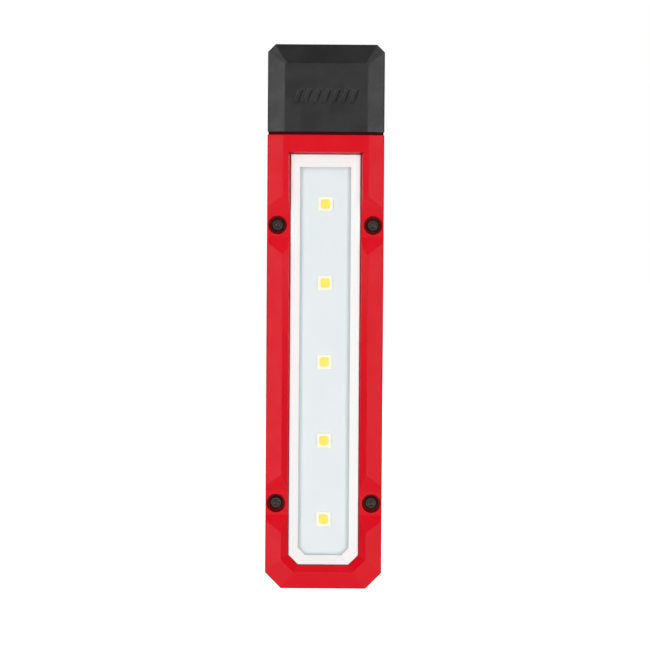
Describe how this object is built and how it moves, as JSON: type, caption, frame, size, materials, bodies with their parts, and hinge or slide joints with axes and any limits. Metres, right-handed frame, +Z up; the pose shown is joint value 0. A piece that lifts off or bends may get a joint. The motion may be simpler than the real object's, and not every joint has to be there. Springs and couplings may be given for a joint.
{
  "type": "work light",
  "caption": "Slim bar-shaped battery work light with a long LED window in a faceted housing, a pull-off battery cap with a power button, a folding hook and a magnetic back.",
  "frame": {"origin": "centre of the bottom end face", "axes": "+Z up the bar towards the cap, -Y out of the lit front, +X to the right of someone facing the front"},
  "size_m": [0.039, 0.029, 0.182],
  "materials": {
    "housing_red": "satin moulded plastic",
    "housing_black": "fine-textured moulded plastic",
    "clear_lens": "clear polycarbonate",
    "frame_white": "white moulded plastic",
    "board_white": "white solder mask",
    "led_frame": "pale package",
    "phosphor": "yellow phosphor gel",
    "seal_rubber": "matte",
    "seal_silicone": "red silicone",
    "thermal_grey": "matte",
    "spreader_aluminium": "brushed",
    "screw_black": "black oxide",
    "screw_steel": "zinc plated",
    "contact_nickel": "nickel plated",
    "board_green": "green solder mask",
    "component_dark": "moulded epoxy",
    "cell_wrap": "printed film on a steel can",
    "lead_red": "insulation",
    "lead_black": "insulation",
    "magnet_nickel": "nickel plated",
    "hook_steel": "satin steel",
    "button_black": "soft-touch"
  },
  "bodies": {
    "housing": {"front_housing": "housing_red", "rear_housing": "housing_black", "housing_seal": "seal_rubber", "housing_screws": "screw_black", "lens": "clear_lens", "frame_gasket": "seal_silicone", "window_frame": "frame_white", "led_board": "board_white", "led_packages": "led_frame", "led_phosphors": "phosphor", "thermal_pad": "thermal_grey", "heat_spreader": "spreader_aluminium", "spreader_screws": "screw_steel", "battery_tube": "housing_black", "neck_seal": "seal_rubber", "cell_1": "cell_wrap", "cell_2": "cell_wrap", "cell_3": "cell_wrap", "cell_4": "cell_wrap", "bottom_contact_spring": "contact_nickel", "bottom_contact_plate": "contact_nickel", "driver_board": "board_green", "driver_inductor": "component_dark", "driver_chip": "component_dark", "driver_capacitors": "component_dark", "driver_screws": "screw_steel", "battery_lead_negative": "lead_black", "battery_lead_positive": "lead_red", "led_lead_negative": "lead_black", "led_lead_positive": "lead_red", "magnet_1": "magnet_nickel", "magnet_2": "magnet_nickel", "magnet_keeper": "screw_steel", "keeper_screw": "screw_steel", "magnet_pad": "seal_rubber", "hook_pin": "screw_steel", "hook_washers": "screw_steel"},
    "cap": {"cap_shell": "housing_black", "contact_carrier": "housing_black", "carrier_screws": "screw_steel", "cap_contact_plate": "contact_nickel", "cap_contact_spring": "contact_nickel", "switch_body": "component_dark", "switch_spring": "contact_nickel"},
    "button": {"power_button": "button_black", "button_seal": "seal_rubber", "switch_plunger": "board_white"},
    "hook": {"hook": "hook_steel"}
  },
  "joints": [
    {"name": "cap_slide", "type": "slide", "parent": "housing", "child": "cap", "axis": [0, 0, 1], "range_m": [0, 0.04]},
    {"name": "button_press", "type": "slide", "parent": "cap", "child": "button", "axis": [0, 0, -1], "range_m": [0, 0.0013], "stiffness_N_per_m": 2500, "springref_m": -0.0004, "deforming": ["switch_spring"]},
    {"name": "hook_swing", "type": "hinge", "parent": "housing", "child": "hook", "pos_m": [0, 0.01305, 0.147], "axis": [1, 0, 0], "range_deg": [0, 180]}
  ]
}
